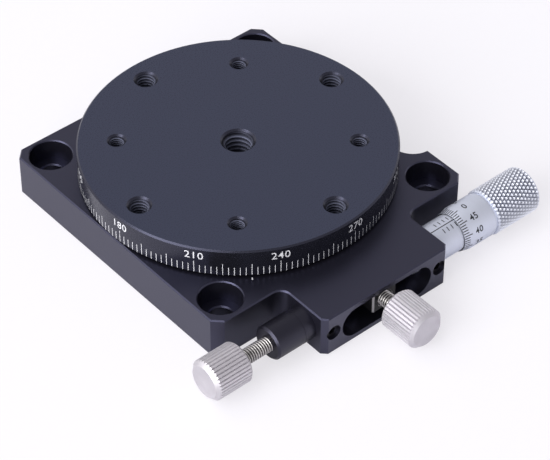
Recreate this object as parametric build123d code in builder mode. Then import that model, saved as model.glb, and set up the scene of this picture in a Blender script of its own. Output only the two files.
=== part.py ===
from build123d import *
import os
from math import radians, sqrt, tan

os.makedirs("parts", exist_ok=True)

# Manual rotation stage with a tangent arm driven by a micrometer head.
# Millimetres. The origin is on the axis of rotation at the underside of the base,
# +Z is up, +X runs towards the thimble and -Y towards the lug with the drive.

# Rotary table
table_diameter = 60.0
table_thickness = 6.0
table_lift = 0.2
table_edge = 0.3
scale_zero_angle = 4.8
m6_radius = 3.0
m4_radius = 2.0
m3_radius = 1.5
m4_inset = 5.0
m3_inset = 7.5
ring_thread_count = 4
m3_offset_angle = 45.0
thread_mouth = 0.35

# Base plate
base_thickness = 8.8
base_corner = 1.8
base_edge = 0.25
mount_inset = 5.0
mount_hole_radius = 2.25
mount_head_radius = 4.1
mount_head_depth = 4.4
mount_rim = 0.2
mount_seat_rim = 0.25
pocket_radius = 24.0
pocket_floor = 1.6
recess_length = 39.2
recess_wall = 1.7
recess_corner = 4.5

# Lug that carries the micrometer head and the spring barrel
lug_width = 30.0
lug_fillet = 2.2
lug_corner = 1.0
slot_length = 21.4
slot_height = 6.4
slot_level = 4.4
cut_overrun = 1.0

# Drive axis: height above the underside, distance from the side of the base,
# and distance to the front of the lug
drive_level = 4.8
drive_offset = 6.0
drive_front_wall = 5.5

# Ball bearing
bearing_bore = 17.0
bearing_outside = 26.0
bearing_width = 5.0
bearing_level = 2.5
ball_diameter = 2.38
ball_count = 13
race_thickness = 1.35
race_groove_clearance = 0.04
cage_wall = 0.9
cage_width = 3.4
cage_pocket_clearance = 0.06

# Spigot that holds the inner race, and its ring nut
seat_clearance = 0.02
spigot_flange_radius = 10.0
spigot_flange_thickness = 1.1
spigot_bore_radius = 5.0
spigot_thread_radius = 7.0
seat_pad_radius = 10.4
nut_radius = 9.2
nut_thickness = 0.8
nut_recess = 0.9
nut_recess_clearance = 0.2
nut_notch_count = 4
nut_notch_width = 1.6
nut_notch_depth = 1.0

# Hub under the table
hub_radius = 17.0
hub_flange_radius = 21.5
hub_flange_thickness = 1.8
hub_lip_radius = 12.0
hub_floor_gap = 0.2
hub_screw_inset = 2.0
hub_screw_count = 4
hub_screw_angle = 25.0
hub_screw_length = 4.4
m2_radius = 1.0
m2_head_radius = 1.9
m2_head_height = 1.1
m2_clearance = 0.05

# Retaining rings
circlip_thickness = 0.4
circlip_grip = 0.6
circlip_width = 1.4
circlip_gap_angle = 24.0
end_clearance = 0.1

# Clamp ring and tangent arm
ring_clearance = 0.05
ring_radius = 21.5
arm_height = 4.2
arm_width = 5.6
arm_end_inset = 0.7
arm_edge = 0.3
arm_mouth = 0.3
foot_width = 13.2
foot_thickness = 2.2
foot_seat = 22.6
arm_screw_spacing = 9.5
arm_screw_length = 3.4
m2_cap_radius = 1.7
m2_cap_height = 1.4
m2_hex = 1.3
m2_hex_depth = 0.7

# Clamp screw
m3_clearance = 0.03
arm_thread_length = 11.0
arm_bore_radius = 1.75
shoe_radius = 1.65
shoe_length = 2.4
shoe_clearance = 0.05
clamp_knob_gap = 2.5

# Knurled knobs
knob_diameter = 8.0
knob_length = 7.9
knob_inner_bevel = 0.4
knob_outer_bevel = 0.8
knob_flutes = 36
knob_flute_depth = 0.28
knob_flute_share = 0.46
stem_chamfer = 0.3
knob_blind = 1.4

# Micrometer head
stem_radius = 3.0
stem_reach = 5.4
sleeve_radius = 3.7
sleeve_length = 18.5
sleeve_setback = 5.7
bush_length = 9.5
nut_length = 8.5
running_clearance = 0.05
spindle_radius = 1.75
spindle_thread_radius = 2.1
spindle_spigot_radius = 1.5
sleeve_relief_radius = 2.6
spindle_thread_overrun = 0.9
spindle_tip_gap = 0.1
arm_travel = 3.15
tip_dome = 4.0
thimble_length = 18.7
thimble_bore_clearance = 0.09
thimble_front_radius = 3.92
thimble_bevel_length = 1.9
thimble_radius = 4.36
thimble_groove_start = 7.6
thimble_groove_width = 0.5
thimble_groove_radius = 4.15
thimble_grip_radius = 4.64
thimble_end_wall = 2.1
thimble_edge = 0.3
adjusting_nut_length = 3.0
adjusting_nut_wall = 0.75
end_screw_head_radius = 2.1
end_screw_head_height = 0.7
end_screw_length = 2.6
end_screw_radius = 0.9
end_screw_slot = 0.5
end_screw_slot_depth = 0.35

# Set screws in the lug
set_screw_spacing = 25.4
set_screw_inset = 0.7
set_screw_hex = 1.5
set_screw_hex_depth = 0.9

# Spring barrel, plunger and lock screw
barrel_radius = 3.35
barrel_length = 8.5
barrel_spigot_radius = 3.2
barrel_spigot_length = 4.1
barrel_bore_radius = 2.55
barrel_end_wall = 3.2
barrel_edge = 0.4
barrel_groove_start = 2.3
barrel_groove_width = 0.5
barrel_groove_depth = 0.06
plunger_length = 10.1
plunger_front_wall = 2.1
plunger_bore_radius = 1.9
spring_wire = 0.45
spring_coils = 5
lock_knob_gap = 6.4
lock_tip_depth = 8.6

# Levels and places that follow from the sizes above. The square base is as wide as the table.
m4_circle = table_diameter - 2 * m4_inset
m3_circle = table_diameter - 2 * m3_inset
half_side = table_diameter / 2
mount_pitch = 2 * (half_side - mount_inset)
mount_seat = base_thickness - mount_head_depth
recess_depth = half_side - pocket_radius - recess_wall
drive_reach = half_side + drive_offset
front_face = -(drive_reach + drive_front_wall)
lug_face = lug_width / 2
slot_half = slot_length / 2
slot_inner_end = sqrt(pocket_radius**2 - slot_half**2) - cut_overrun
table_bottom = base_thickness + table_lift
bearing_top = bearing_level + bearing_width
bearing_middle = bearing_level + bearing_width / 2
inner_race_radius = bearing_bore / 2
outer_race_radius = bearing_outside / 2
ball_circle_radius = (inner_race_radius + outer_race_radius) / 2
groove_radius = ball_diameter / 2 + race_groove_clearance
hub_bottom = pocket_floor + hub_floor_gap
hub_screw_circle = 2 * (hub_flange_radius - hub_screw_inset)
hub_flange_bottom = table_bottom - hub_flange_thickness
arm_bottom = drive_level - arm_height / 2
arm_end = front_face + arm_end_inset
ring_bore = hub_radius + ring_clearance
spindle_tip = arm_width / 2 + spindle_tip_gap
sleeve_end = lug_face + sleeve_length
thimble_front = lug_face + sleeve_setback
thimble_end = thimble_front + thimble_length
thimble_floor = thimble_end - thimble_end_wall
barrel_end = -(lug_face + barrel_length)
barrel_floor = barrel_end + barrel_end_wall
barrel_groove = -(lug_face + barrel_groove_start + barrel_groove_width)
plunger_tip = -spindle_tip
plunger_back = plunger_tip - plunger_length
plunger_radius = barrel_bore_radius - running_clearance
spring_radius = (plunger_radius + plunger_bore_radius) / 2
spring_length = plunger_back - barrel_floor - spring_wire
knob_radius = knob_diameter / 2
stem_grip = knob_length - knob_blind
shoe_end = hub_radius + shoe_clearance + shoe_length
clamp_knob_face = clamp_knob_gap - front_face
lock_knob_face = lock_knob_gap - barrel_end
lock_tip = lock_tip_depth - plunger_tip
stem_start = lug_face - stem_reach
spindle_bore = spindle_radius + running_clearance
thread_bore = spindle_thread_radius + running_clearance
bush_end = stem_start + bush_length
nut_seat_radius = sleeve_radius - adjusting_nut_wall
spindle_thread_start = bush_end + arm_travel + end_clearance
spindle_thread_end = sleeve_end + spindle_thread_overrun
thimble_bore = sleeve_radius + thimble_bore_clearance
thimble_seat = thimble_end - end_screw_head_height - end_clearance
thimble_grip_start = thimble_front + thimble_groove_start + thimble_groove_width

# Axes and working planes. A turned piece is drawn as distance along its axis and radius.
table_axis = Axis.Z
table_profile = Plane.XZ
drive_origin = (0, -drive_reach, drive_level)
drive_axis = Axis(drive_origin, (1, 0, 0))
drive_plane = Plane(origin=drive_origin, x_dir=(1, 0, 0), z_dir=(0, -1, 0))
base_aligned = (Align.CENTER, Align.CENTER, Align.MIN)
top_aligned = (Align.CENTER, Align.CENTER, Align.MAX)


def front_plane(x, y, z):
    """Plane that faces out of the front of the lug, centred at the given point."""
    return Plane(origin=(x, y, z), x_dir=(1, 0, 0), z_dir=(0, -1, 0))


def left_plane(x):
    """Plane across the drive axis that faces away from the micrometer."""
    return Plane(origin=(x, -drive_reach, drive_level), x_dir=(0, 1, 0), z_dir=(-1, 0, 0))


def dome_rise(radius):
    """Height of a domed tip at a radius from its middle."""
    return tip_dome - sqrt(tip_dome**2 - radius**2)


def finish(piece, name):
    """Labels a finished piece and writes it to its own file."""
    piece.part.label = name
    export_step(piece.part, "parts/" + name + ".step")


# Base plate with its lug
with BuildPart() as base_plate:
    with BuildSketch(Plane.XY) as base_outline:
        with BuildLine():
            Polyline(
                (-half_side, half_side),
                (half_side, half_side),
                (half_side, -half_side),
                (lug_face, -half_side),
                (lug_face, front_face),
                (-lug_face, front_face),
                (-lug_face, -half_side),
                (-half_side, -half_side),
                close=True,
            )
        make_face()
        lug_roots = base_outline.vertices().group_by(Axis.Y)[1].sort_by(lambda v: abs(v.X))[:2]
        fillet(lug_roots, radius=lug_fillet)
        chamfer(base_outline.vertices().group_by(Axis.Y)[0], length=lug_corner)
        chamfer(base_outline.vertices().group_by(Axis.X)[0], length=base_corner)
        chamfer(base_outline.vertices().group_by(Axis.X)[-1], length=base_corner)
        with Locations((half_side + recess_corner, 0)):
            RectangleRounded(
                2 * (recess_depth + recess_corner), recess_length, recess_corner, mode=Mode.SUBTRACT
            )
    extrude(amount=base_thickness)
    chamfer(base_plate.faces().sort_by(Axis.Z)[-1].outer_wire().edges(), length=base_edge)
    chamfer(base_plate.faces().sort_by(Axis.Z)[0].outer_wire().edges(), length=base_edge)
    with Locations((0, 0, base_thickness)):
        with GridLocations(mount_pitch, mount_pitch, 2, 2):
            CounterBoreHole(mount_hole_radius, mount_head_radius, mount_head_depth)
    chamfer(base_plate.faces().sort_by(Axis.Z)[-1].inner_wires().edges(), length=mount_rim)
    circles = base_plate.edges().filter_by(GeomType.CIRCLE)
    seat_circles = circles.filter_by_position(Axis.Z, mount_seat, mount_seat)
    chamfer(seat_circles.group_by(SortBy.RADIUS)[0], length=mount_seat_rim)
    with BuildSketch(Plane.XY.offset(pocket_floor)):
        Circle(pocket_radius)
    extrude(amount=base_thickness, mode=Mode.SUBTRACT)
    with BuildSketch(Plane.XY.offset(pocket_floor)):
        Circle(seat_pad_radius)
    extrude(amount=bearing_level - pocket_floor)
    with BuildSketch(Plane.XY):
        Circle(nut_radius + nut_recess_clearance)
    extrude(amount=nut_recess, mode=Mode.SUBTRACT)
    with BuildSketch(Plane.XY):
        Circle(spigot_thread_radius + seat_clearance)
    extrude(amount=bearing_level, mode=Mode.SUBTRACT)
    with BuildSketch(front_plane(0, front_face, slot_level)):
        SlotOverall(slot_length, slot_height)
    extrude(amount=front_face + slot_inner_end, mode=Mode.SUBTRACT)
    with BuildSketch(Plane.YZ.offset(lug_face)):
        with Locations((-drive_reach, drive_level)):
            Circle(stem_radius + seat_clearance)
    extrude(amount=-(lug_face - slot_half + slot_height / 2), mode=Mode.SUBTRACT)
    with BuildSketch(Plane.YZ.offset(-lug_face)):
        with Locations((-drive_reach, drive_level)):
            Circle(barrel_spigot_radius + seat_clearance)
    extrude(amount=lug_face - slot_half + slot_height / 2, mode=Mode.SUBTRACT)
    with BuildSketch(front_plane(0, front_face, drive_level)):
        with Locations((set_screw_spacing / 2, 0), (-set_screw_spacing / 2, 0)):
            Circle(m3_radius + m3_clearance)
    extrude(amount=front_face + drive_reach, mode=Mode.SUBTRACT)
finish(base_plate, "base_plate")

# Spigot that clamps the inner race to the base, with its ring nut underneath
with BuildPart() as centre_spigot:
    with BuildSketch(table_profile):
        Polygon(
            (spigot_bore_radius, nut_recess - nut_thickness),
            (spigot_thread_radius, nut_recess - nut_thickness),
            (spigot_thread_radius, bearing_level),
            (inner_race_radius - seat_clearance, bearing_level),
            (inner_race_radius - seat_clearance, bearing_top),
            (spigot_flange_radius, bearing_top),
            (spigot_flange_radius, bearing_top + spigot_flange_thickness),
            (spigot_bore_radius, bearing_top + spigot_flange_thickness),
            align=None,
        )
    revolve(axis=table_axis)
finish(centre_spigot, "centre_spigot")

with BuildPart() as spigot_ring_nut:
    with BuildSketch(Plane.XY.offset(nut_recess - nut_thickness)):
        Circle(nut_radius)
        Circle(spigot_thread_radius + seat_clearance, mode=Mode.SUBTRACT)
        with PolarLocations(nut_radius, nut_notch_count):
            Rectangle(2 * nut_notch_depth, nut_notch_width, mode=Mode.SUBTRACT)
    extrude(amount=nut_thickness)
finish(spigot_ring_nut, "spigot_ring_nut")

# Ball bearing
with BuildPart() as bearing_inner_race:
    with BuildSketch(table_profile):
        with Locations((inner_race_radius + race_thickness / 2, bearing_middle)):
            Rectangle(race_thickness, bearing_width)
        with Locations((ball_circle_radius, bearing_middle)):
            Circle(groove_radius, mode=Mode.SUBTRACT)
    revolve(axis=table_axis)
finish(bearing_inner_race, "bearing_inner_race")

with BuildPart() as bearing_outer_race:
    with BuildSketch(table_profile):
        with Locations((outer_race_radius - seat_clearance - race_thickness / 2, bearing_middle)):
            Rectangle(race_thickness, bearing_width)
        with Locations((ball_circle_radius, bearing_middle)):
            Circle(groove_radius, mode=Mode.SUBTRACT)
    revolve(axis=table_axis)
finish(bearing_outer_race, "bearing_outer_race")

with BuildPart() as bearing_balls:
    with Locations((0, 0, bearing_middle)):
        with PolarLocations(ball_circle_radius, ball_count):
            Sphere(ball_diameter / 2)
finish(bearing_balls, "bearing_balls")

with BuildPart() as bearing_cage:
    with BuildSketch(Plane.XY.offset(bearing_middle - cage_width / 2)):
        Circle(ball_circle_radius + cage_wall / 2)
        Circle(ball_circle_radius - cage_wall / 2, mode=Mode.SUBTRACT)
    extrude(amount=cage_width)
    with Locations((0, 0, bearing_middle)):
        with PolarLocations(ball_circle_radius, ball_count):
            Cylinder(
                ball_diameter / 2 + cage_pocket_clearance,
                2 * cage_wall,
                rotation=(0, 90, 0),
                mode=Mode.SUBTRACT,
            )
finish(bearing_cage, "bearing_cage")

# Hub under the table: it holds the outer race and is gripped by the clamp
with BuildPart() as clamp_hub:
    with BuildSketch(table_profile):
        Polygon(
            (outer_race_radius, hub_bottom),
            (hub_radius, hub_bottom),
            (hub_radius, hub_flange_bottom),
            (hub_flange_radius, hub_flange_bottom),
            (hub_flange_radius, table_bottom),
            (hub_lip_radius, table_bottom),
            (hub_lip_radius, bearing_top),
            (outer_race_radius, bearing_top),
            align=None,
        )
        with Locations((outer_race_radius, bearing_level - circlip_thickness / 2)):
            Rectangle(2 * circlip_grip, circlip_thickness, mode=Mode.SUBTRACT)
        with Locations((hub_radius, arm_bottom - end_clearance - circlip_thickness / 2)):
            Rectangle(2 * circlip_grip, circlip_thickness, mode=Mode.SUBTRACT)
    revolve(axis=table_axis)
    with Locations((0, 0, hub_flange_bottom)):
        with PolarLocations(hub_screw_circle / 2, hub_screw_count, start_angle=hub_screw_angle):
            Cone(
                m2_head_radius + m2_clearance,
                m2_radius + m2_clearance,
                m2_head_height,
                align=base_aligned,
                mode=Mode.SUBTRACT,
            )
            Cylinder(
                m2_radius + m2_clearance,
                hub_flange_thickness,
                align=base_aligned,
                mode=Mode.SUBTRACT,
            )
finish(clamp_hub, "clamp_hub")

with BuildPart(Plane.XY.offset(hub_flange_bottom)) as hub_screws:
    with PolarLocations(hub_screw_circle / 2, hub_screw_count, start_angle=hub_screw_angle):
        Cone(m2_head_radius, m2_radius, m2_head_height, align=base_aligned)
        Cylinder(m2_radius, hub_screw_length, align=base_aligned)
finish(hub_screws, "hub_screws")


# Retaining rings: one in the hub's bore under the outer race, one on the hub under the clamp ring
def make_circlip(inner, outer, bottom):
    """Flat open ring with a gap at the back of the stage."""
    with BuildPart() as ring:
        with BuildSketch(Plane.XY.offset(bottom)):
            Circle(outer)
            Circle(inner, mode=Mode.SUBTRACT)
            half_gap = outer * tan(radians(circlip_gap_angle / 2))
            Polygon((0, 0), (half_gap, outer), (-half_gap, outer), align=None, mode=Mode.SUBTRACT)
        extrude(amount=circlip_thickness)
    return ring


bore_circlip = make_circlip(
    outer_race_radius + circlip_grip - circlip_width,
    outer_race_radius + circlip_grip - seat_clearance,
    bearing_level - circlip_thickness,
)
finish(bore_circlip, "bore_circlip")

hub_circlip = make_circlip(
    hub_radius - circlip_grip + seat_clearance,
    hub_radius - circlip_grip + circlip_width,
    arm_bottom - end_clearance - circlip_thickness,
)
finish(hub_circlip, "hub_circlip")

# Rotary table
with BuildPart(Plane.XY.offset(table_bottom)) as rotary_table:
    Cylinder(table_diameter / 2, table_thickness, align=base_aligned)
    chamfer(rotary_table.edges().filter_by(GeomType.CIRCLE), length=table_edge)
    Hole(m6_radius)
    with PolarLocations(m4_circle / 2, ring_thread_count, start_angle=scale_zero_angle):
        Hole(m4_radius)
    m3_start_angle = scale_zero_angle + m3_offset_angle
    with PolarLocations(m3_circle / 2, ring_thread_count, start_angle=m3_start_angle):
        Hole(m3_radius)
    chamfer(
        rotary_table.faces().sort_by(Axis.Z)[-1].inner_wires().edges(),
        length=thread_mouth,
    )
    with BuildSketch(Plane.XY.offset(table_bottom)):
        with PolarLocations(hub_screw_circle / 2, hub_screw_count, start_angle=hub_screw_angle):
            Circle(m2_radius + m2_clearance)
    extrude(amount=hub_screw_length - hub_flange_thickness + m2_clearance, mode=Mode.SUBTRACT)
finish(rotary_table, "rotary_table")

# Clamp ring round the hub, with a flat seat for the tangent arm
with BuildPart() as clamp_ring:
    with BuildSketch(Plane.XY.offset(arm_bottom)):
        Circle(ring_radius)
        with Locations((0, -foot_seat)):
            Rectangle(foot_width, foot_seat - hub_radius, align=(Align.CENTER, Align.MIN))
        Circle(ring_bore, mode=Mode.SUBTRACT)
    extrude(amount=arm_height)
    with BuildSketch(front_plane(0, -foot_seat, drive_level)):
        Circle(shoe_radius + shoe_clearance)
    extrude(amount=hub_radius - foot_seat - cut_overrun, mode=Mode.SUBTRACT)
    with BuildSketch(front_plane(0, -foot_seat, drive_level)):
        with Locations((arm_screw_spacing / 2, 0), (-arm_screw_spacing / 2, 0)):
            Circle(m2_radius + m2_clearance)
    extrude(amount=-(arm_screw_length - foot_thickness + m2_clearance), mode=Mode.SUBTRACT)
finish(clamp_ring, "clamp_ring")

# Tangent arm: a foot screwed to the clamp ring and a bar that ends in the slot of the lug
with BuildPart() as tangent_arm:
    with BuildSketch(Plane.XY.offset(arm_bottom)):
        with Locations((0, -foot_seat)):
            Rectangle(foot_width, foot_thickness, align=(Align.CENTER, Align.MAX))
            Rectangle(arm_width, -arm_end - foot_seat, align=(Align.CENTER, Align.MAX))
    extrude(amount=arm_height)
    chamfer(
        tangent_arm.edges().filter_by(Axis.Z).group_by(Axis.Y)[0],
        length=arm_edge,
    )
    with BuildSketch(front_plane(0, arm_end, drive_level)):
        Circle(m3_radius + m3_clearance)
    extrude(amount=-arm_thread_length, mode=Mode.SUBTRACT)
    chamfer(tangent_arm.faces().sort_by(Axis.Y)[0].inner_wires().edges(), length=arm_mouth)
    with BuildSketch(front_plane(0, -foot_seat, drive_level)):
        Circle(arm_bore_radius)
    extrude(amount=-arm_end - foot_seat - arm_thread_length, mode=Mode.SUBTRACT)
    with BuildSketch(front_plane(0, -foot_seat, drive_level)):
        with Locations((arm_screw_spacing / 2, 0), (-arm_screw_spacing / 2, 0)):
            Circle(m2_radius + m2_clearance)
    extrude(amount=foot_thickness, mode=Mode.SUBTRACT)
finish(tangent_arm, "tangent_arm")

with BuildPart(front_plane(0, -foot_seat - foot_thickness, drive_level)) as arm_screws:
    with Locations((arm_screw_spacing / 2, 0), (-arm_screw_spacing / 2, 0)):
        Cylinder(m2_cap_radius, m2_cap_height, align=base_aligned)
        Cylinder(m2_radius, arm_screw_length, align=top_aligned)
    with BuildSketch(front_plane(0, -foot_seat - foot_thickness - m2_cap_height, drive_level)):
        with Locations((arm_screw_spacing / 2, 0), (-arm_screw_spacing / 2, 0)):
            RegularPolygon(m2_hex / 2, 6, major_radius=False)
    extrude(amount=-m2_hex_depth, mode=Mode.SUBTRACT)
finish(arm_screws, "arm_screws")

# Brass shoe that the clamp screw presses on the hub
with BuildPart(front_plane(0, 0, drive_level)) as clamp_shoe:
    Cylinder(shoe_radius, shoe_end, align=base_aligned)
    with Locations(Location((0, 0, 0), (90, 0, 0))):
        Cylinder(hub_radius + shoe_clearance, 2 * arm_height, mode=Mode.SUBTRACT)
finish(clamp_shoe, "clamp_shoe")


# Screws with fluted knobs
def make_screw_stem(tip, length):
    """Plain M3 stem that starts at the origin of a plane and runs along its z direction."""
    with BuildPart(tip) as stem:
        Cylinder(m3_radius, length, align=base_aligned)
        chamfer(stem.edges().filter_by(GeomType.CIRCLE), length=stem_chamfer)
    return stem


def make_knob(inner_face):
    """Knob with straight flutes that starts at a plane and runs along its z direction."""
    half_flute = knob_radius * tan(radians(180 / knob_flutes)) * knob_flute_share
    with BuildPart(inner_face) as knob:
        Cylinder(knob_radius, knob_length, align=base_aligned)
        outward = Axis(inner_face.origin, inner_face.z_dir)
        rims = knob.edges().filter_by(GeomType.CIRCLE).sort_by(outward)
        chamfer(rims[0], length=knob_inner_bevel)
        chamfer(rims[-1], length=knob_outer_bevel)
        with BuildSketch(inner_face):
            with PolarLocations(0, knob_flutes):
                Polygon(
                    (knob_radius - knob_flute_depth, 0),
                    (knob_radius + knob_flute_depth, 2 * half_flute),
                    (knob_radius + knob_flute_depth, -2 * half_flute),
                    align=None,
                )
        extrude(amount=knob_length, mode=Mode.SUBTRACT)
        with BuildSketch(inner_face):
            Circle(m3_radius + m3_clearance)
        extrude(amount=stem_grip, mode=Mode.SUBTRACT)
    return knob


clamp_stem = make_screw_stem(
    front_plane(0, -shoe_end, drive_level), clamp_knob_face + stem_grip - shoe_end
)
finish(clamp_stem, "clamp_stem")

clamp_knob = make_knob(front_plane(0, -clamp_knob_face, drive_level))
finish(clamp_knob, "clamp_knob")

lock_stem = make_screw_stem(left_plane(-lock_tip), lock_knob_face + stem_grip - lock_tip)
finish(lock_stem, "lock_stem")

lock_knob = make_knob(left_plane(-lock_knob_face))
finish(lock_knob, "lock_knob")

# Micrometer head: fixed sleeve with its stem in the lug
with BuildPart() as micrometer_sleeve:
    with BuildSketch(drive_plane):
        Polygon(
            (stem_start, spindle_bore),
            (stem_start, stem_radius),
            (lug_face, stem_radius),
            (lug_face, sleeve_radius),
            (sleeve_end - adjusting_nut_length, sleeve_radius),
            (sleeve_end - adjusting_nut_length, nut_seat_radius),
            (sleeve_end, nut_seat_radius),
            (sleeve_end, thread_bore),
            (sleeve_end - nut_length, thread_bore),
            (sleeve_end - nut_length, sleeve_relief_radius),
            (bush_end, sleeve_relief_radius),
            (bush_end, spindle_bore),
            align=None,
        )
    revolve(axis=drive_axis)
finish(micrometer_sleeve, "micrometer_sleeve")

with BuildPart() as adjusting_nut:
    with BuildSketch(drive_plane):
        with Locations((sleeve_end, nut_seat_radius + seat_clearance)):
            Rectangle(
                adjusting_nut_length - end_clearance,
                adjusting_nut_wall - end_clearance,
                align=(Align.MAX, Align.MIN),
            )
    revolve(axis=drive_axis)
finish(adjusting_nut, "adjusting_nut")

with BuildPart() as spindle:
    with BuildSketch(drive_plane):
        with BuildLine():
            dome = ThreePointArc(
                (spindle_tip, 0),
                (spindle_tip + dome_rise(spindle_radius / 2), spindle_radius / 2),
                (spindle_tip + dome_rise(spindle_radius), spindle_radius),
            )
            Polyline(
                dome @ 1,
                (spindle_thread_start, spindle_radius),
                (spindle_thread_start, spindle_thread_radius),
                (spindle_thread_end, spindle_thread_radius),
                (spindle_thread_end, spindle_spigot_radius),
                (thimble_seat, spindle_spigot_radius),
                (thimble_seat, 0),
                dome @ 0,
            )
        make_face()
    revolve(axis=drive_axis)
    with BuildSketch(Plane.YZ.offset(thimble_seat)):
        with Locations((-drive_reach, drive_level)):
            Circle(end_screw_radius + running_clearance)
    extrude(amount=-end_screw_length - running_clearance, mode=Mode.SUBTRACT)
finish(spindle, "spindle")

with BuildPart() as thimble:
    with BuildSketch(drive_plane):
        Polygon(
            (thimble_front, thimble_bore),
            (thimble_front, thimble_front_radius),
            (thimble_front + thimble_bevel_length, thimble_radius),
            (thimble_front + thimble_groove_start, thimble_radius),
            (thimble_front + thimble_groove_start, thimble_groove_radius),
            (thimble_grip_start, thimble_groove_radius),
            (thimble_grip_start, thimble_grip_radius - thimble_edge),
            (thimble_grip_start + thimble_edge, thimble_grip_radius),
            (thimble_end - thimble_edge, thimble_grip_radius),
            (thimble_end, thimble_grip_radius - thimble_edge),
            (thimble_end, end_screw_head_radius + end_clearance),
            (thimble_seat, end_screw_head_radius + end_clearance),
            (thimble_seat, spindle_spigot_radius + m3_clearance),
            (thimble_floor, spindle_spigot_radius + m3_clearance),
            (thimble_floor, thimble_bore),
            align=None,
        )
    revolve(axis=drive_axis)
finish(thimble, "thimble")

with BuildPart() as thimble_end_screw:
    with BuildSketch(drive_plane):
        Polygon(
            (thimble_seat - end_screw_length, 0),
            (thimble_seat - end_screw_length, end_screw_radius),
            (thimble_seat, end_screw_radius),
            (thimble_seat, end_screw_head_radius),
            (thimble_seat + end_screw_head_height, end_screw_head_radius),
            (thimble_seat + end_screw_head_height, 0),
            align=None,
        )
    revolve(axis=drive_axis)
    with BuildSketch(Plane.YZ.offset(thimble_seat + end_screw_head_height)):
        with Locations((-drive_reach, drive_level)):
            Rectangle(2 * end_screw_head_radius, end_screw_slot)
    extrude(amount=-end_screw_slot_depth, mode=Mode.SUBTRACT)
finish(thimble_end_screw, "thimble_end_screw")


# Set screws in the front of the lug
def make_set_screw(x, seat_radius):
    """Socket set screw that ends just off a stem of the given radius."""
    outer = front_face + set_screw_inset
    with BuildPart(front_plane(x, outer, drive_level)) as screw:
        Cylinder(m3_radius, -outer - drive_reach - seat_radius - seat_clearance, align=top_aligned)
        with BuildSketch(front_plane(x, outer, drive_level)):
            RegularPolygon(set_screw_hex / 2, 6, major_radius=False)
        extrude(amount=-set_screw_hex_depth, mode=Mode.SUBTRACT)
    return screw


sleeve_set_screw = make_set_screw(set_screw_spacing / 2, stem_radius)
finish(sleeve_set_screw, "sleeve_set_screw")

barrel_set_screw = make_set_screw(-set_screw_spacing / 2, barrel_spigot_radius)
finish(barrel_set_screw, "barrel_set_screw")

# Spring barrel, spring and plunger, with the lock screw running through them
with BuildPart() as spring_barrel:
    with BuildSketch(drive_plane):
        Polygon(
            (barrel_end, m3_radius + m3_clearance),
            (barrel_end, barrel_radius - barrel_edge),
            (barrel_end + barrel_edge, barrel_radius),
            (barrel_groove, barrel_radius),
            (barrel_groove, barrel_radius - barrel_groove_depth),
            (barrel_groove + barrel_groove_width, barrel_radius - barrel_groove_depth),
            (barrel_groove + barrel_groove_width, barrel_radius),
            (-lug_face, barrel_radius),
            (-lug_face, barrel_spigot_radius),
            (barrel_spigot_length - lug_face, barrel_spigot_radius),
            (barrel_spigot_length - lug_face, barrel_bore_radius),
            (barrel_floor, barrel_bore_radius),
            (barrel_floor, m3_radius + m3_clearance),
            align=None,
        )
    revolve(axis=drive_axis)
finish(spring_barrel, "spring_barrel")

with BuildPart() as spring_plunger:
    with BuildSketch(drive_plane):
        with BuildLine():
            nose = ThreePointArc(
                (plunger_tip, 0),
                (plunger_tip - dome_rise(plunger_radius / 2), plunger_radius / 2),
                (plunger_tip - dome_rise(plunger_radius), plunger_radius),
            )
            Polyline(
                nose @ 1,
                (plunger_back, plunger_radius),
                (plunger_back, plunger_bore_radius),
                (plunger_tip - plunger_front_wall, plunger_bore_radius),
                (plunger_tip - plunger_front_wall, 0),
                nose @ 0,
            )
        make_face()
    revolve(axis=drive_axis)
finish(spring_plunger, "spring_plunger")

with BuildPart() as plunger_spring:
    with BuildLine():
        coil = Helix(
            pitch=spring_length / spring_coils,
            height=spring_length,
            radius=spring_radius,
            center=(barrel_floor + spring_wire / 2, -drive_reach, drive_level),
            direction=(1, 0, 0),
        )
    with BuildSketch(Plane(origin=coil @ 0, z_dir=coil % 0)):
        RegularPolygon(spring_wire / 2, 6)
    sweep(is_frenet=True)
finish(plunger_spring, "plunger_spring")
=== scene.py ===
from math import cos, degrees, pi, radians, sin

import bmesh
import bpy
from mathutils import Matrix, Vector


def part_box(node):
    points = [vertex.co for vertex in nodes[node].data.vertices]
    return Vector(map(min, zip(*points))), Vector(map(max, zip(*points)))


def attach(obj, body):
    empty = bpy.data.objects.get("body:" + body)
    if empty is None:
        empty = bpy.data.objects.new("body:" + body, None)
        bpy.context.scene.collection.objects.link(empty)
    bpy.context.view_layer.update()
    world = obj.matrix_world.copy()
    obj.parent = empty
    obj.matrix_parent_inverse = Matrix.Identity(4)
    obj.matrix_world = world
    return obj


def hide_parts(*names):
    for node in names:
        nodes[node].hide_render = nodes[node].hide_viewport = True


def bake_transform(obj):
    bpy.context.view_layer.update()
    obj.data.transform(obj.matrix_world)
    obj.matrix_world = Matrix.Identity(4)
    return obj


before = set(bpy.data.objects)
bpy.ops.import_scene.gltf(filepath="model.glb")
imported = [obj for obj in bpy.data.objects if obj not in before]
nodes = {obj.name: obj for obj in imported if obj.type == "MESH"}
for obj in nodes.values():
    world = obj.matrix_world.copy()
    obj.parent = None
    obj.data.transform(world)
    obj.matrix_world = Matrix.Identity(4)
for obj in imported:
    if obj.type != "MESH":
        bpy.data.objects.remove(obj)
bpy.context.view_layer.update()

# Everything below is written in millimetres and brought to metres as each piece is made.
MM = 0.001

# Places and sizes of the stage that the dressing is fitted to. Angles are in degrees.
table_radius = 30.0
table_top = 15.0
table_bottom = 9.0
base_top = 8.8
scale_zero = 4.8
drive_y = -36.0
drive_z = 4.8
sleeve_radius = 3.7

# The thimble: its front edge, its bevel, and the knurl on its grip
thimble_front = 20.7
front_radius = 3.92
bevel_end = 22.6
thimble_radius = 4.36
knurl_tip = 4.64
knurl_depth = 0.3
knurl_floor = knurl_tip - knurl_depth

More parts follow.
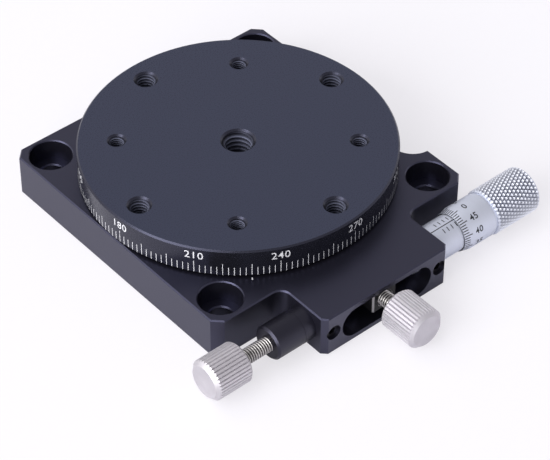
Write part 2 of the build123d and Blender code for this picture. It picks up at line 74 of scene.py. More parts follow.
# A thread is given by its outer and inner radius and its pitch
m3_major = 1.5
m3_minor = 1.2
m3_pitch = 0.5


# Small tools


def linear(hex_colour):
    """An sRGB hex colour as the linear red, green, blue and alpha that shaders use."""
    parts = [int(hex_colour[i:i + 2], 16) / 255 for i in (1, 3, 5)]
    return [p / 12.92 if p <= 0.04045 else ((p + 0.055) / 1.055) ** 2.4 for p in parts] + [1.0]


def add(tree, kind, settings=None, values=None, links=None):
    """Adds one node to a material with its settings, socket values and incoming links."""
    node = tree.nodes.new(kind)
    for name, value in (settings or {}).items():
        setattr(node, name, value)
    for socket, value in (values or {}).items():
        node.inputs[socket].default_value = value
    for socket, source in (links or {}).items():
        tree.links.new(source, node.inputs[socket])
    return node


def new_finish(name):
    """An empty node material and its output."""
    finish = bpy.data.materials.new(name)
    finish.use_nodes = True
    finish.node_tree.nodes.clear()
    output = finish.node_tree.nodes.new("ShaderNodeOutputMaterial")
    return finish, finish.node_tree, output


# Finishes

# Height of the grain and of the tool lines, which a bump shows
grain_height = 0.01


def make_anodised(
    name, colour, worn_colour, top_sheen_colour, sheen_colour, ior, grain_mm, roughness, bump,
):
    """Blasted and anodised aluminium: a dyed oxide film whose fine matt grain catches a soft sheen.

    The dye varies a little over patches of about 14 mm. Flat tops are painted in the top sheen
    colour instead, a painted sheen that makes them lighter and bluer than the dye.
    """
    cloud_mm = 14
    uneven = 0.05
    finish, tree, output = new_finish(name)
    place = add(tree, "ShaderNodeTexCoord")
    grain = add(
        tree, "ShaderNodeTexNoise",
        values={"Scale": 1 / (grain_mm * MM), "Detail": 3.0, "Roughness": 0.6},
        links={"Vector": place.outputs["Object"]},
    )
    cloud = add(
        tree, "ShaderNodeTexNoise",
        values={"Scale": 1 / (cloud_mm * MM), "Detail": 2.0},
        links={"Vector": place.outputs["Object"]},
    )
    dye = add(
        tree, "ShaderNodeMix", settings={"data_type": "RGBA"},
        values={"A": linear(colour), "B": linear(worn_colour)},
        links={"Factor": cloud.outputs["Fac"]},
    )
    # A flat top faces straight up, a chamfer or a side doesn't. Only flat tops get the painted
    # sheen
    facing = add(tree, "ShaderNodeSeparateXYZ", links={"Vector": place.outputs["Normal"]})
    is_top = add(
        tree, "ShaderNodeMapRange",
        values={"From Min": 0.9, "From Max": 0.98}, links={"Value": facing.outputs["Z"]},
    )
    tone = add(
        tree, "ShaderNodeMix", settings={"data_type": "RGBA"},
        values={"B": linear(top_sheen_colour)},
        links={"Factor": is_top.outputs["Result"], "A": dye.outputs["Result"]},
    )
    sheen = add(
        tree, "ShaderNodeMapRange",
        values={"To Min": roughness - uneven, "To Max": roughness + uneven},
        links={"Value": grain.outputs["Fac"]},
    )
    relief = add(
        tree, "ShaderNodeBump",
        values={"Strength": bump, "Distance": grain_height * MM},
        links={"Height": grain.outputs["Fac"]},
    )
    surface = add(
        tree, "ShaderNodeBsdfPrincipled",
        values={"Metallic": 0.0, "IOR": ior, "Specular Tint": linear(sheen_colour)},
        links={
            "Base Color": tone.outputs["Result"],
            "Roughness": sheen.outputs["Result"],
            "Normal": relief.outputs["Normal"],
        },
    )
    tree.links.new(surface.outputs["BSDF"], output.inputs["Surface"])
    return finish


def make_tapped(name, painted_valley_shade, painted_crest_highlight, sheen_colour, ior, roughness):
    """Anodised thread in a hole, with a painted highlight on its crests and painted shade in its
    valleys.

    The mesh's own crest value says how near to a crest each point is.
    """
    finish, tree, output = new_finish(name)
    crest = add(tree, "ShaderNodeAttribute", settings={"attribute_name": "crest"})
    tone = add(
        tree, "ShaderNodeMix", settings={"data_type": "RGBA"},
        values={"A": linear(painted_valley_shade), "B": linear(painted_crest_highlight)},
        links={"Factor": crest.outputs["Fac"]},
    )
    surface = add(
        tree, "ShaderNodeBsdfPrincipled",
        values={"IOR": ior, "Specular Tint": linear(sheen_colour), "Roughness": roughness},
        links={"Base Color": tone.outputs["Result"]},
    )
    tree.links.new(surface.outputs["BSDF"], output.inputs["Surface"])
    return finish


def make_worn_steel(name, colour, worn_colour, ior, roughness):
    """Oil-blacked steel that is rubbed bright on its chamfers.

    A chamfer is a face that lies square to none of the arm's sides.
    """
    finish, tree, output = new_finish(name)
    place = add(tree, "ShaderNodeTexCoord")
    size = add(
        tree, "ShaderNodeVectorMath", settings={"operation": "ABSOLUTE"},
        links={0: place.outputs["Normal"]},
    )
    facing = add(tree, "ShaderNodeSeparateXYZ", links={"Vector": size.outputs["Vector"]})
    flat = add(
        tree, "ShaderNodeMath", settings={"operation": "MAXIMUM"},
        links={0: facing.outputs["X"], 1: facing.outputs["Y"]},
    )
    square = add(
        tree, "ShaderNodeMath", settings={"operation": "MAXIMUM"},
        links={0: flat.outputs["Value"], 1: facing.outputs["Z"]},
    )
    worn = add(
        tree, "ShaderNodeMapRange",
        values={"From Min": 0.8, "From Max": 0.86, "To Min": 1.0, "To Max": 0.0},
        links={"Value": square.outputs["Value"]},
    )
    tone = add(
        tree, "ShaderNodeMix", settings={"data_type": "RGBA"},
        values={"A": linear(colour), "B": linear(worn_colour)},
        links={"Factor": worn.outputs["Result"]},
    )
    surface = add(
        tree, "ShaderNodeBsdfPrincipled",
        values={"IOR": ior, "Roughness": roughness},
        links={"Base Color": tone.outputs["Result"], "Metallic": worn.outputs["Result"]},
    )
    tree.links.new(surface.outputs["BSDF"], output.inputs["Surface"])
    return finish


def make_metal(name, colour, dark_colour, roughness, line_mm, line_axis, bump):
    """Turned or ground metal: fine tool lines that run round one axis stretch its highlights."""
    along_mm = 2.5
    uneven = 0.06
    finish, tree, output = new_finish(name)
    place = add(tree, "ShaderNodeTexCoord")
    stretch = [1 / ((line_mm if axis == line_axis else along_mm) * MM) for axis in "XYZ"]
    rows = add(
        tree, "ShaderNodeMapping",
        values={"Scale": stretch}, links={"Vector": place.outputs["Object"]},
    )
    lines = add(
        tree, "ShaderNodeTexNoise",
        values={"Scale": 1.0, "Detail": 3.0, "Roughness": 0.55},
        links={"Vector": rows.outputs["Vector"]},
    )
    tone = add(
        tree, "ShaderNodeMix", settings={"data_type": "RGBA"},
        values={"A": linear(dark_colour), "B": linear(colour)},
        links={"Factor": lines.outputs["Fac"]},
    )
    sheen = add(
        tree, "ShaderNodeMapRange",
        values={"To Min": roughness - uneven, "To Max": roughness + uneven},
        links={"Value": lines.outputs["Fac"]},
    )
    relief = add(
        tree, "ShaderNodeBump",
        values={"Strength": bump, "Distance": grain_height * MM},
        links={"Height": lines.outputs["Fac"]},
    )
    surface = add(
        tree, "ShaderNodeBsdfPrincipled",
        values={"Metallic": 1.0},
        links={
            "Base Color": tone.outputs["Result"],
            "Roughness": sheen.outputs["Result"],
            "Normal": relief.outputs["Normal"],
        },
    )
    tree.links.new(surface.outputs["BSDF"], output.inputs["Surface"])
    return finish


def make_ridged_metal(name, painted_crest_highlight, painted_valley_shade, axis, centre, low, high, roughness):
    """Rolled thread or knurl round an axis: painted highlights on the crests and painted shade in
    the valleys.
    """
    finish, tree, output = new_finish(name)
    place = add(tree, "ShaderNodeTexCoord")
    keep = [0.0 if letter == axis else 1.0 for letter in "XYZ"]
    outward = add(
        tree, "ShaderNodeVectorMath", settings={"operation": "MULTIPLY_ADD"},
        values={1: keep, 2: [-c * MM * k for c, k in zip(centre, keep)]},
        links={0: place.outputs["Object"]},
    )
    reach = add(
        tree, "ShaderNodeVectorMath", settings={"operation": "LENGTH"},
        links={0: outward.outputs["Vector"]},
    )
    height = add(
        tree, "ShaderNodeMapRange",
        values={"From Min": low * MM, "From Max": high * MM},
        links={"Value": reach.outputs["Value"]},
    )
    tone = add(
        tree, "ShaderNodeMix", settings={"data_type": "RGBA"},
        values={"A": linear(painted_valley_shade), "B": linear(painted_crest_highlight)},
        links={"Factor": height.outputs["Result"]},
    )
    surface = add(
        tree, "ShaderNodeBsdfPrincipled",
        values={"Metallic": 1.0, "Roughness": roughness},
        links={"Base Color": tone.outputs["Result"]},
    )
    tree.links.new(surface.outputs["BSDF"], output.inputs["Surface"])
    return finish


def make_fill_paint(name, colour, thin_colour):
    """Paint wiped into engraved marks: matt, with a slightly uneven cover."""
    patch_mm = 0.4
    finish, tree, output = new_finish(name)
    place = add(tree, "ShaderNodeTexCoord")
    cover = add(
        tree, "ShaderNodeTexNoise",
        values={"Scale": 1 / (patch_mm * MM), "Detail": 2.0},
        links={"Vector": place.outputs["Object"]},
    )
    tone = add(
        tree, "ShaderNodeMix", settings={"data_type": "RGBA"},
        values={"A": linear(colour), "B": linear(thin_colour)},
        links={"Factor": cover.outputs["Fac"]},
    )
    surface = add(
        tree, "ShaderNodeBsdfPrincipled",
        values={"Roughness": 0.6}, links={"Base Color": tone.outputs["Result"]},
    )
    tree.links.new(surface.outputs["BSDF"], output.inputs["Surface"])
    return finish


# Table, base and barrel: aluminium, blasted and anodised black, near black with a soft cool sheen.
# The grit leaves a grain of about 0.12 mm, drawn at 0.25 and 0.3 mm so that it shows.
# Its fourth colour is a painted sheen that makes the table's flat top lighter and bluer
table_anodised = make_anodised(
    "black_anodised_table", "#131318", "#17171C", "#2D3140", "#D4D7FF",
    ior=1.6, grain_mm=0.25, roughness=0.28, bump=0.2,
)
base_anodised = make_anodised(
    "black_anodised_base", "#0F0E13", "#131217", "#0F0E13", "#CFD0FF",
    ior=1.8, grain_mm=0.25, roughness=0.34, bump=0.3,
)
barrel_anodised = make_anodised(
    "black_anodised_barrel", "#100F14", "#141319", "#100F14", "#DEDDFF",
    ior=1.55, grain_mm=0.3, roughness=0.34, bump=0.2,
)
# Tapped holes of the table: the same anodising, with painted highlights on the crests of the
# threads and painted shade between them
thread_anodised = make_tapped(
    "black_anodised_threads", "#020203", "#6C6F82", "#D4D7FF", ior=1.35, roughness=0.4,
)
# Screws and rings: oil-blacked steel, darker than the anodised parts and as glossy as the table.
# The blacking is a thin dark film on a grained skin too, so the same function draws it.
blacked_steel = make_anodised(
    "blacked_steel", "#0C0B0E", "#111013", "#0C0B0E", "#E6E4F2",
    ior=1.45, grain_mm=0.3, roughness=0.3, bump=0.15,
)
# Tangent arm: the same steel, with the black worn off its edges
arm_steel = make_worn_steel("blacked_steel_arm", "#131215", "#9F9D9E", ior=1.5, roughness=0.4)
# The tool leaves lines of about 0.05 mm on the next metals, drawn at 0.08 to 0.12 mm so that they
# show. Knobs: turned brass plated with satin nickel, pale grey and soft in its highlights.
knob_nickel_front = make_metal(
    "satin_nickel_clamp", "#D4D1D6", "#BBB8BE",
    roughness=0.62, line_mm=0.12, line_axis="Y", bump=0.3,
)
knob_nickel_side = make_metal(
    "satin_nickel_lock", "#D8D5D9", "#BFBCC1",
    roughness=0.6, line_mm=0.12, line_axis="X", bump=0.3,
)
# Screw stems: stainless steel with rolled threads, with a painted highlight on the crests and
# painted shade between them
stainless_front = make_ridged_metal(
    "stainless_clamp_screw", "#D9D6D4", "#2A2728",
    axis="Y", centre=(0, 0, drive_z), low=m3_minor, high=m3_major, roughness=0.3,
)
stainless_side = make_ridged_metal(
    "stainless_lock_screw", "#D9D6D4", "#2A2728",
    axis="X", centre=(0, drive_y, drive_z), low=m3_minor, high=m3_major, roughness=0.3,
)
# End screw of the thimble: turned stainless steel, grey with a clear shine
stainless_head = make_metal(
    "stainless_end_screw", "#D2D0CE", "#A9A7A6",
    roughness=0.28, line_mm=0.1, line_axis="X", bump=0.15,
)
# Micrometer sleeve and thimble: steel plated with satin chrome, pale, cool and evenly matt
satin_chrome = make_metal(
    "satin_chrome", "#D8DCE8", "#CBCFDB",
    roughness=0.58, line_mm=0.08, line_axis="X", bump=0.2,
)
# Grip of the thimble: the same chrome on a rolled knurl, with grey painted shade in the grooves and
# a bright painted highlight on the last 0.04 mm of the tips
knurled_chrome = make_ridged_metal(
    "knurled_chrome", "#EEF1FA", "#8B8E9B",
    axis="X", centre=(0, drive_y, drive_z), low=knurl_floor, high=knurl_tip - 0.04, roughness=0.42,
)
# Bearing, hub, spigot, spindle, plunger and its spring: ground steel, cool grey, fairly glossy
ground_steel = make_metal(
    "ground_steel", "#B9BABC", "#98999C",
    roughness=0.22, line_mm=0.1, line_axis="Z", bump=0.1,
)
# Shoe, cage and adjusting nut: turned brass, warm yellow
turned_brass = make_metal(
    "turned_brass", "#C9A75C", "#A88748",
    roughness=0.3, line_mm=0.1, line_axis="X", bump=0.15,
)
# Marks: white paint in the table's scale, black paint in the micrometer's, both matt
scale_white = make_fill_paint("white_fill_paint", "#E9E9EC", "#CFCFD4")
scale_black = make_fill_paint("black_fill_paint", "#14151B", "#22232B")

# The finish of each solid of the stage
finishes = {
    "rotary_table": table_anodised,
    "base_plate": base_anodised,
    "spring_barrel": barrel_anodised,
    "tangent_arm": arm_steel,
    "clamp_ring": blacked_steel,
    "arm_screws": blacked_steel,
    "hub_screws": blacked_steel,
    "bore_circlip": blacked_steel,
    "hub_circlip": blacked_steel,
    "spigot_ring_nut": blacked_steel,
    "sleeve_set_screw": blacked_steel,
    "barrel_set_screw": blacked_steel,
    "centre_spigot": ground_steel,
    "bearing_inner_race": ground_steel,
    "bearing_outer_race": ground_steel,
    "bearing_balls": ground_steel,
    "clamp_hub": ground_steel,
    "spindle": ground_steel,
    "spring_plunger": ground_steel,
    "plunger_spring": ground_steel,
    "bearing_cage": turned_brass,
    "clamp_shoe": turned_brass,
    "adjusting_nut": turned_brass,
    "clamp_stem": stainless_front,
    "clamp_knob": knob_nickel_front,
    "lock_stem": stainless_side,
    "lock_knob": knob_nickel_side,
    "micrometer_sleeve": satin_chrome,
    "thimble": satin_chrome,
    "thimble_end_screw": stainless_head,
}
for node_name, finish in finishes.items():
    materials = nodes[node_name].data.materials
    if not materials:
        materials.append(finish)
    for i in range(len(materials)):
        materials[i] = finish


# Making a piece from points and faces


def make_piece(name, points, faces, body, finish, smooth=True):
    """Makes a piece from points in millimetres and links it to the body that carries it.

    A piece that bends between two bodies is given no body here.
    """
    mesh = bpy.data.meshes.new(name)
    mesh.from_pydata([[c * MM for c in p] for p in points], [], faces)
    shape = bmesh.new()
    shape.from_mesh(mesh)
    bmesh.ops.recalc_face_normals(shape, faces=shape.faces)
    shape.to_mesh(mesh)
    shape.free()
    mesh.polygons.foreach_set("use_smooth", [smooth] * len(mesh.polygons))
    mesh.materials.append(finish)
    piece = bpy.data.objects.new(name, mesh)
    bpy.context.scene.collection.objects.link(piece)
    if body:
        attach(piece, body)
    return piece


def band(low, high, steps):
    """Faces between two rings of points, whose first points have the numbers low and high."""
    pairs = [(step, (step + 1) % steps) for step in range(steps)]
    return [(low + a, low + b, high + b, high + a) for a, b in pairs]


def on_drive(x, angle, radius):
    """A point round the micrometer's axis. The angle is 0 at the top and grows to the back."""
    a = radians(angle)
    return (x, drive_y + radius * sin(a), drive_z + radius * cos(a))


def on_table(angle, level, radius):
    """A point round the table's axis, by its angle anticlockwise from +X."""
    a = radians(angle)
    return (radius * cos(a), radius * sin(a), level)


def thread_radius(along, turn, major, minor, pitch):
    """Radius of a right-hand thread, at a distance along its axis and a share of a turn.

    Its flanks are a zigzag, which is stretched and cut off so that small flats are left.
    """
    stretch = 1.35
    sink = 0.15
    zigzag = abs(2 * ((along / pitch - turn) % 1.0) - 1)
    height = min(1.0, max(0.0, stretch * zigzag - sink))
    return minor + (major - minor) * height


# Threads in the table's holes


def make_hole_thread(name, x, y, major, minor, pitch):
    """Thread ridges that line a hole of the table, cut back by its chamfered mouth."""
    steps_round = 48
    steps_per_turn = 12
    mouth_chamfer = 0.35
    wall_gap = 0.01
    mouth = table_top - mouth_chamfer
    rows = int((mouth - table_bottom) / pitch * steps_per_turn)
    points = []
    crests = []
    for row in range(rows + 1):
        level = table_bottom + (mouth - table_bottom) * row / rows
        for step in range(steps_round):
            turn = step / steps_round
            radius = thread_radius(level, turn, major, minor, pitch)
            radius = min(major - wall_gap, max(radius, major - (mouth - level)))
            points.append((x + radius * cos(2 * pi * turn), y + radius * sin(2 * pi * turn), level))
            # Squared, so that the painted highlight stays near the crest
            crests.append(((major - radius) / (major - minor)) ** 2)
    faces = []
    for row in range(rows):
        faces += band(row * steps_round, (row + 1) * steps_round, steps_round)
    ridges = make_piece(name, points, faces, "table", thread_anodised)
    ridges.data.attributes.new("crest", "FLOAT", "POINT").data.foreach_set("value", crests)


# The M6 hole in the centre, and four M4 and four M3 holes in rings of their own
m4_reach = 25
m3_reach = 22.5
make_hole_thread("centre_thread_ridges", 0, 0, major=3.0, minor=2.46, pitch=1.0)
for hole in range(4):
    m4_angle = radians(scale_zero + 90 * hole)
    m3_angle = radians(scale_zero + 45 + 90 * hole)
    make_hole_thread(
        f"m4_thread_ridges_{hole}", m4_reach * cos(m4_angle), m4_reach * sin(m4_angle),
        major=2.0, minor=1.62, pitch=0.7,
    )
    make_hole_thread(
        f"m3_thread_ridges_{hole}", m3_reach * cos(m3_angle), m3_reach * sin(m3_angle),
        major=m3_major, minor=1.23, pitch=m3_pitch,
    )


# Threaded stems of the clamp and lock screws


def on_clamp_screw(along, turn, radius):
    """A point on the clamp screw, which runs to the front from its inner end."""
    inner_end = -19.45
    a = 2 * pi * turn
    return (radius * cos(a), inner_end - along, drive_z + radius * sin(a))


def on_lock_screw(along, turn, radius):
    """A point on the lock screw, which runs to the left from its inner end."""
    inner_end = -11.5
    a = 2 * pi * turn
    return (inner_end - along, drive_y - radius * cos(a), drive_z + radius * sin(a))


def make_threaded_stem(name, node, place, length, thread_start, body, finish):
    """M3 stem with a rolled thread from thread_start on, in place of the plain one.

    place(along, turn, radius) gives a point on it.
    """
    steps_round = 40
    rings_per_turn = 8
    bevel = 0.3
    thread_end = length - bevel
    points = []
    rings = []

    def ring(along, radius=None):
        """Points round the stem, on its thread where no radius is given."""
        rings.append(len(points))
        for step in range(steps_round):
            turn = step / steps_round
            reach = radius or thread_radius(along, turn, m3_major, m3_minor, m3_pitch)
            points.append(place(along, turn, reach))

    ring(0.0, m3_minor)
    ring(bevel, m3_major)
    ring(thread_start, m3_major)
    count = int((thread_end - thread_start) / m3_pitch * rings_per_turn)
    for i in range(1, count + 1):
        ring(thread_start + (thread_end - thread_start) * i / count)
    ring(length, m3_minor)
    faces = []
    for low, high in zip(rings, rings[1:]):
        faces += band(low, high, steps_round)
    faces += [tuple(range(end, end + steps_round)) for end in (rings[0], rings[-1])]
    stem = make_piece(name, points, faces, body, finish)
    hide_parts(node)


make_threaded_stem(
    "clamp_screw_thread", "clamp_stem", on_clamp_screw,
    length=31.05, thread_start=12.0, body="clamp_screw", finish=stainless_front,
)
make_threaded_stem(
    "lock_screw_thread", "lock_stem", on_lock_screw,
    length=24.9, thread_start=5.0, body="lock_screw", finish=stainless_side,
)


# Spring behind the plunger, in place of the plain one


def make_spring():
    """Round-wire spring with a closed coil at each end.
    """
    low, high = [Vector(corner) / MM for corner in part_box("plunger_spring")]
    wire_radius = 0.225
    coil_radius = (high.y - low.y) / 2 - wire_radius
    closed_turns = 1.0
    open_turns = 4.5
    # A closed coil rises by a little more than the wire's width
    closed_rise = 2.1 * wire_radius
    open_rise = (high.x - low.x - 2 * wire_radius - 2 * closed_turns * closed_rise) / open_turns
    steps_per_turn = 24
    sides = 8
    count = int((2 * closed_turns + open_turns) * steps_per_turn)
    points = []
    for i in range(count + 1):
        turn = i / steps_per_turn
        in_open = min(max(turn - closed_turns, 0), open_turns)
        x = low.x + wire_radius + in_open * open_rise + (turn - in_open) * closed_rise
        for side in range(sides):
            a = 2 * pi * side / sides
            reach = coil_radius + wire_radius * cos(a)
            points.append(on_drive(x + wire_radius * sin(a), 360 * turn, reach))
    faces = [tuple(range(sides)), tuple(range(count * sides, (count + 1) * sides))]
    for i in range(count):
        faces += band(i * sides, (i + 1) * sides, sides)
    spring = make_piece("plunger_spring_wire", points, faces, None, ground_steel)
    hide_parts("plunger_spring")
    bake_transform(spring)


make_spring()


# Thimble with its diamond knurl, in place of the plain one


def knurl_height(around, along):
    """Height of a diamond knurl, nought in its grooves and one on its tips.

    Both places are counted in diamonds. A flank rises steeply to its shoulder and then gently.
    """
    shoulder = 0.25
    shoulder_height = 0.85
    slants = [abs((around + along) % 1.0 - 0.5), abs((around - along) % 1.0 - 0.5)]
    inward = 0.5 - max(slants)
    if inward < shoulder:
        return inward / shoulder * shoulder_height
    return shoulder_height + (inward - shoulder) / (0.5 - shoulder) * (1 - shoulder_height)


def make_thimble():
    """Turned thimble with its knurled grip, whose grid has four steps to a diamond both ways."""
    diamonds_round = 35
    diamonds_long = 6.5
    grid = 4
    steps_round = grid * diamonds_round
    knurl_rows = int(grid * diamonds_long)
    knurl_start = 29.2
    knurl_end = 39.0
    bore_radius = 3.79
    bore_end = 37.3
    crease_angle = 24

    # Outline, as places along the axis and radii: front edge, bevel, skirt and the turned groove
    front = [
        (thimble_front, 3.9), (thimble_front, front_radius), (bevel_end, thimble_radius),
        (28.2, thimble_radius), (28.3, 4.28), (28.3, 4.15), (28.8, 4.15), (28.8, knurl_floor),
    ]
    grip = [
        (knurl_start + (knurl_end - knurl_start) * i / knurl_rows, knurl_tip, i / grid)
        for i in range(knurl_rows + 1)
    ]
    # Bevelled edge, end face with the end screw's seat, end wall, and the bore over the sleeve
    back = [
        (39.4, knurl_floor), (39.4, 4.1), (39.36, 2.2), (38.6, 2.2), (38.6, 1.53),
        (bore_end, 1.53), (bore_end, bore_radius), (22.2, bore_radius),
    ]
    rows = [(x, radius, None) for x, radius in front]
    rows += grip
    rows += [(x, radius, None) for x, radius in back]

    points = []
    for x, radius, along in rows:
        for step in range(steps_round):
            cut = 0 if along is None else knurl_depth * (1 - knurl_height(step / grid, along))
            points.append(on_drive(x, 360 * step / steps_round, radius - cut))
    faces = []
    crisp = []
    for i, row in enumerate(rows):
        j = (i + 1) % len(rows)
        in_knurl = row[2] is not None and rows[j][2] is not None
        for step in range(steps_round):
            other = (step + 1) % steps_round
            a, b = i * steps_round + step, i * steps_round + other
            c, d = j * steps_round + other, j * steps_round + step
            if not in_knurl:
                cell = [(a, b, c, d)]
            elif (step + grid * row[2]) % 2 == 0:
                cell = [(a, b, c), (a, c, d)]
            else:
                cell = [(a, b, d), (b, c, d)]
            faces += cell
            crisp += [in_knurl] * len(cell)

    thimble = make_piece("thimble_knurled", points, faces, "thimble", satin_chrome)
    thimble.data.materials.append(knurled_chrome)
    thimble.data.materials.append(blacked_steel)
    for polygon, flat in zip(thimble.data.polygons, crisp):
        # The bore has the blacked steel: painted shade for the dark gap between sleeve and thimble
        reach = min(rows[polygon.vertices[corner] // steps_round][1] for corner in (0, 2))
        in_bore = reach <= bore_radius and polygon.center.x < (bore_end - 0.1) * MM
        polygon.use_smooth = not flat
        polygon.material_index = 1 if flat else 2 if in_bore else 0
    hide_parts("thimble")
    thimble.data.set_sharp_from_angle(angle=radians(crease_angle))


make_thimble()


# Marks and numbers


def make_marks(name, strips, body, finish):
    """Joins painted strips, each given by its own four corners, into one piece."""
    points = [corner for strip in strips for corner in strip]
    faces = [tuple(range(4 * i, 4 * i + 4)) for i in range(len(strips))]
    return make_piece(name, points, faces, body, finish, smooth=False)


def make_numbers(name, labels, height, weight, place, body, finish):
    """Engraved numbers, each from the flat outline of its own text, at its own angle.

    place(across, up, angle) bends a point of the outline on to the number's surface.
    """
    capital_share = 0.7
    points = []
    faces = []
    for text, angle in labels:
        letters = bpy.data.curves.new(name, "FONT")
        letters.body = text
        letters.size = height / capital_share
        letters.offset = weight
        letters.align_x = "CENTER"
        letters.align_y = "CENTER"
        letters.resolution_u = 4
        letters.space_character = 1.08
        outline = bpy.data.objects.new(name + "_outline", letters)
        flat = bpy.data.meshes.new_from_object(outline)
        first = len(points)
        points += [place(v.co.x, v.co.y, angle) for v in flat.vertices]
        faces += [tuple(first + v for v in polygon.vertices) for polygon in flat.polygons]
        bpy.data.objects.remove(outline)
        bpy.data.curves.remove(letters)
        bpy.data.meshes.remove(flat)
    return make_piece(name, points, faces, body, finish, smooth=False)


def round_strip(place, first, second, radius):
    """Corners of a painted strip on a round surface, from its limits in place's two directions."""
    corners = [
        (first[0], second[0]), (first[1], second[0]), (first[1], second[1]), (first[0], second[1]),
    ]
    return [place(a, b, radius) for a, b in corners]


# Scale on the rim of the table: a line every 2 degrees, a longer one every 10, a number every 30
paint_lift = 0.008
rim = table_radius + paint_lift
rim_line_half = degrees(0.058 / table_radius)
rim_line_low = table_bottom + 0.3
rim_number_level = 13.2
rim_strips = []
for reading in range(0, 360, 2):
    centre = scale_zero + reading
    rim_line_high = rim_line_low + (2.6 if reading % 10 == 0 else 1.8)
    rim_strips.append(round_strip(
        on_table, (centre - rim_line_half, centre + rim_line_half),
        (rim_line_low, rim_line_high), rim,
    ))
make_marks("table_scale_lines", rim_strips, "table", scale_white)
make_numbers(
    "table_scale_numbers", [(str(reading), scale_zero + reading) for reading in range(0, 360, 30)],
    height=1.6, weight=0.006,
    place=lambda across, up, angle: on_table(
        angle + degrees(across / table_radius), rim_number_level + up, rim,
    ),
    body="table", finish=scale_white,
)

# Index mark on the base, just outside the table
mark_angle = 234.8
mark_half = degrees(0.13 / table_radius)
mark_level = base_top + 0.01
mark_near = 30.2
mark_far = 30.75
make_marks(
    "index_mark",
    [[
        on_table(mark_angle - mark_half, mark_level, mark_near),
        on_table(mark_angle - mark_half, mark_level, mark_far),
        on_table(mark_angle + mark_half, mark_level, mark_far),
        on_table(mark_angle + mark_half, mark_level, mark_near),
    ]],
    "base", scale_white,
)

# Sleeve: a line along it and 1 mm lines on both sides, staggered by half a millimetre. Each of
# those follows the sleeve in four flat cells.
line_half = 0.09
sleeve_skin = sleeve_radius + paint_lift
index_angle = -8.5
index_start = 15.1
index_end = 33.2
cells = 4
sleeve_strips = []
for k in range(17):
    for first, near, far in ((16.95, 8.5, 22.0), (17.45, -8.0, -22.5)):
        x = first + k
        if x < index_end:
            for cell in range(cells):
                low = index_angle + near + (far - near) * cell / cells
                high = index_angle + near + (far - near) * (cell + 1) / cells
                sleeve_strips.append(
                    round_strip(on_drive, (x - line_half, x + line_half), (low, high), sleeve_skin)
                )
index_half = degrees(line_half / sleeve_radius)
sleeve_strips.append(round_strip(
    on_drive, (index_start, index_end),
    (index_angle - index_half, index_angle + index_half), sleeve_skin,
))
make_marks("sleeve_lines", sleeve_strips, "base", scale_black)

# Thimble: fifty divisions on its bevel, a longer line and a number at every fifth
divisions = 50
division_angle = 360 / divisions
dial_zero = 3.0
bevel_slope = (thimble_radius - front_radius) / (bevel_end - thimble_front)
bevel_line_near = 20.75
thimble_number_place = 24.1


def bevel_corner(x, angle, side):
    """Corner of a line on the thimble's bevel, on the side -1 or 1 of the line's angle."""
    radius = front_radius + (x - thimble_front) * bevel_slope + 0.01
    return on_drive(x, angle + side * degrees(line_half / radius), radius)


bevel_strips = []
for division in range(divisions):
    angle = dial_zero + division_angle * division
    bevel_line_far = 22.4 if division % 5 == 0 else 21.85
    bevel_strips.append([
        bevel_corner(bevel_line_near, angle, -1), bevel_corner(bevel_line_far, angle, -1),
        bevel_corner(bevel_line_far, angle, 1), bevel_corner(bevel_line_near, angle, 1),
    ])
make_marks("thimble_lines", bevel_strips, "thimble", scale_black)
make_numbers(
    "thimble_numbers",
    [(str(division), dial_zero + division_angle * division) for division in range(0, divisions, 5)],
    height=1.25, weight=0.03,
    place=lambda across, up, angle: on_drive(
        thimble_number_place + across, angle + degrees(up / thimble_radius), thimble_radius + 0.012,
    ),
    body="thimble", finish=scale_black,
)


# Floor, lights and camera


def seen_share(tree, by_camera, by_metal):
    """How far a surrounding shows its plain white.

    The two shares are for the camera, and for rays off metal or through glass.
    """
    ray = add(tree, "ShaderNodeLightPath")
    metal = add(
        tree, "ShaderNodeMath", settings={"operation": "MAXIMUM"},
        links={0: ray.outputs["Is Glossy Ray"], 1: ray.outputs["Is Transmission Ray"]},
    )
    metal_share = add(
        tree, "ShaderNodeMath", settings={"operation": "MULTIPLY"},
        values={1: by_metal}, links={0: metal.outputs["Value"]},
    )
    share = add(
        tree, "ShaderNodeMath", settings={"operation": "MULTIPLY_ADD"},
        values={1: by_camera},
        links={0: ray.outputs["Is Camera Ray"], 2: metal_share.outputs["Value"]},
    )
    return share.outputs["Value"]


def make_floor():
    """Pale paper that the stage stands on. What the camera and metal see of it is near white.

    It is six metres square and lies 0.04 mm under the base.
    """
    fibre_mm = 1.5
    half = 3.0
    level = -0.04 * MM
    finish, tree, output = new_finish("white_paper")
    place = add(tree, "ShaderNodeTexCoord")
    fibre = add(
        tree, "ShaderNodeTexNoise",
        values={"Scale": 1 / (fibre_mm * MM), "Detail": 2.0},
        links={"Vector": place.outputs["Object"]},
    )
    tone = add(
        tree, "ShaderNodeMix", settings={"data_type": "RGBA"},
        values={"A": linear("#F8F6FB"), "B": linear("#FBF9FE")},
        links={"Factor": fibre.outputs["Fac"]},
    )
    paper = add(
        tree, "ShaderNodeBsdfDiffuse",
        values={"Roughness": 0.3}, links={"Color": tone.outputs["Result"]},
    )
    white = add(
        tree, "ShaderNodeEmission", values={"Color": linear("#FDFBFF"), "Strength": 1.0},
    )
    share = seen_share(tree, by_camera=0.65, by_metal=0.1)
    mix = add(
        tree, "ShaderNodeMixShader",
        links={0: share, 1: paper.outputs["BSDF"], 2: white.outputs["Emission"]},
    )
    tree.links.new(mix.outputs["Shader"], output.inputs["Surface"])
    mesh = bpy.data.meshes.new("floor")
    corners = [(x * half, y * half, level) for x, y in ((-1, -1), (1, -1), (1, 1), (-1, 1))]
    mesh.from_pydata(corners, [], [(0, 1, 2, 3)])
    mesh.materials.append(finish)
    floor = bpy.data.objects.new("floor", mesh)
    bpy.context.scene.collection.objects.link(floor)


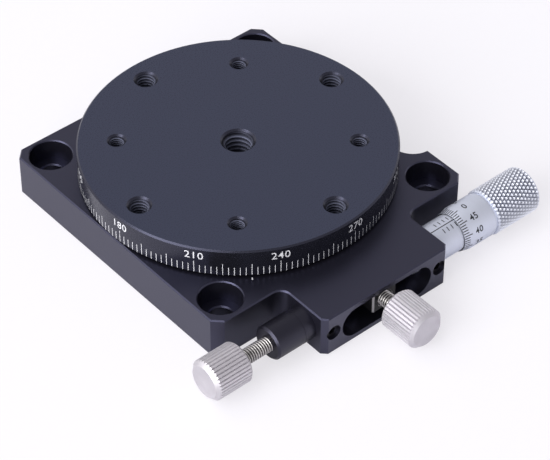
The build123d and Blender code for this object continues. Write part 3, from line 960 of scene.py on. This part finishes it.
def make_softbox(name, place, aim, width, height, watts):
    """Soft lamp that faces a point."""
    lamp = bpy.data.lights.new(name, "AREA")
    lamp.shape = "RECTANGLE"
    lamp.size = width
    lamp.size_y = height
    lamp.energy = watts
    box = bpy.data.objects.new(name, lamp)
    bpy.context.scene.collection.objects.link(box)
    box.location = place
    box.rotation_mode = "QUATERNION"
    box.rotation_quaternion = (Vector(aim) - Vector(place)).to_track_quat("-Z", "Y")


def make_surroundings():
    """White room: even light from all round.

    What the eye sees of it, straight or in metal, is a white wall under a dimmer ceiling.
    """
    world = bpy.data.worlds.new("white_room")
    bpy.context.scene.world = world
    world.use_nodes = True
    tree = world.node_tree
    tree.nodes.clear()
    output = tree.nodes.new("ShaderNodeOutputWorld")
    even = add(tree, "ShaderNodeBackground", values={"Color": linear("#F6F6FF"), "Strength": 0.3})
    place = add(tree, "ShaderNodeTexCoord")
    height = add(tree, "ShaderNodeSeparateXYZ", links={"Vector": place.outputs["Generated"]})
    wall = add(
        tree, "ShaderNodeMapRange",
        values={"From Min": 0.2, "From Max": 0.62, "To Min": 1.0, "To Max": 0.5},
        links={"Value": height.outputs["Z"]},
    )
    white = add(
        tree, "ShaderNodeBackground",
        values={"Color": linear("#FDFBFF")}, links={"Strength": wall.outputs["Result"]},
    )
    share = seen_share(tree, by_camera=1.0, by_metal=1.0)
    mix = add(
        tree, "ShaderNodeMixShader",
        links={0: share, 1: even.outputs["Background"], 2: white.outputs["Background"]},
    )
    tree.links.new(mix.outputs["Shader"], output.inputs["Surface"])


def make_camera():
    """Camera at the picture's place: 41 degrees left of the front and 43 above the bench."""
    data = bpy.data.cameras.new("camera")
    data.sensor_width = 36.0
    data.lens = 162.234
    camera = bpy.data.objects.new("camera", data)
    bpy.context.scene.collection.objects.link(camera)
    camera.location = (-0.2206241, -0.2672079, 0.3166320)
    right = Vector((0.76062019, -0.64918574, 0.00384777))
    down = Vector((-0.44154919, -0.52166902, -0.72999709))
    ahead = Vector((0.47591096, 0.55355154, -0.68343942))
    turn = Matrix((right, -down, -ahead)).transposed()
    camera.rotation_mode = "QUATERNION"
    camera.rotation_quaternion = turn.to_quaternion()
    data.clip_start = 0.01
    data.clip_end = 20.0
    bpy.context.scene.camera = camera


make_floor()
make_surroundings()
make_softbox(
    "overhead_softbox", place=(-0.7, 0.7, 1.5), aim=(0, 0, 0), width=2.0, height=2.0, watts=18.0,
)
make_softbox(
    "side_softbox", place=(-1.5, -0.3, 0.7), aim=(0, 0, 0.01), width=1.6, height=1.2, watts=34.0,
)
make_camera()
bpy.context.scene.view_settings.view_transform = "Standard"
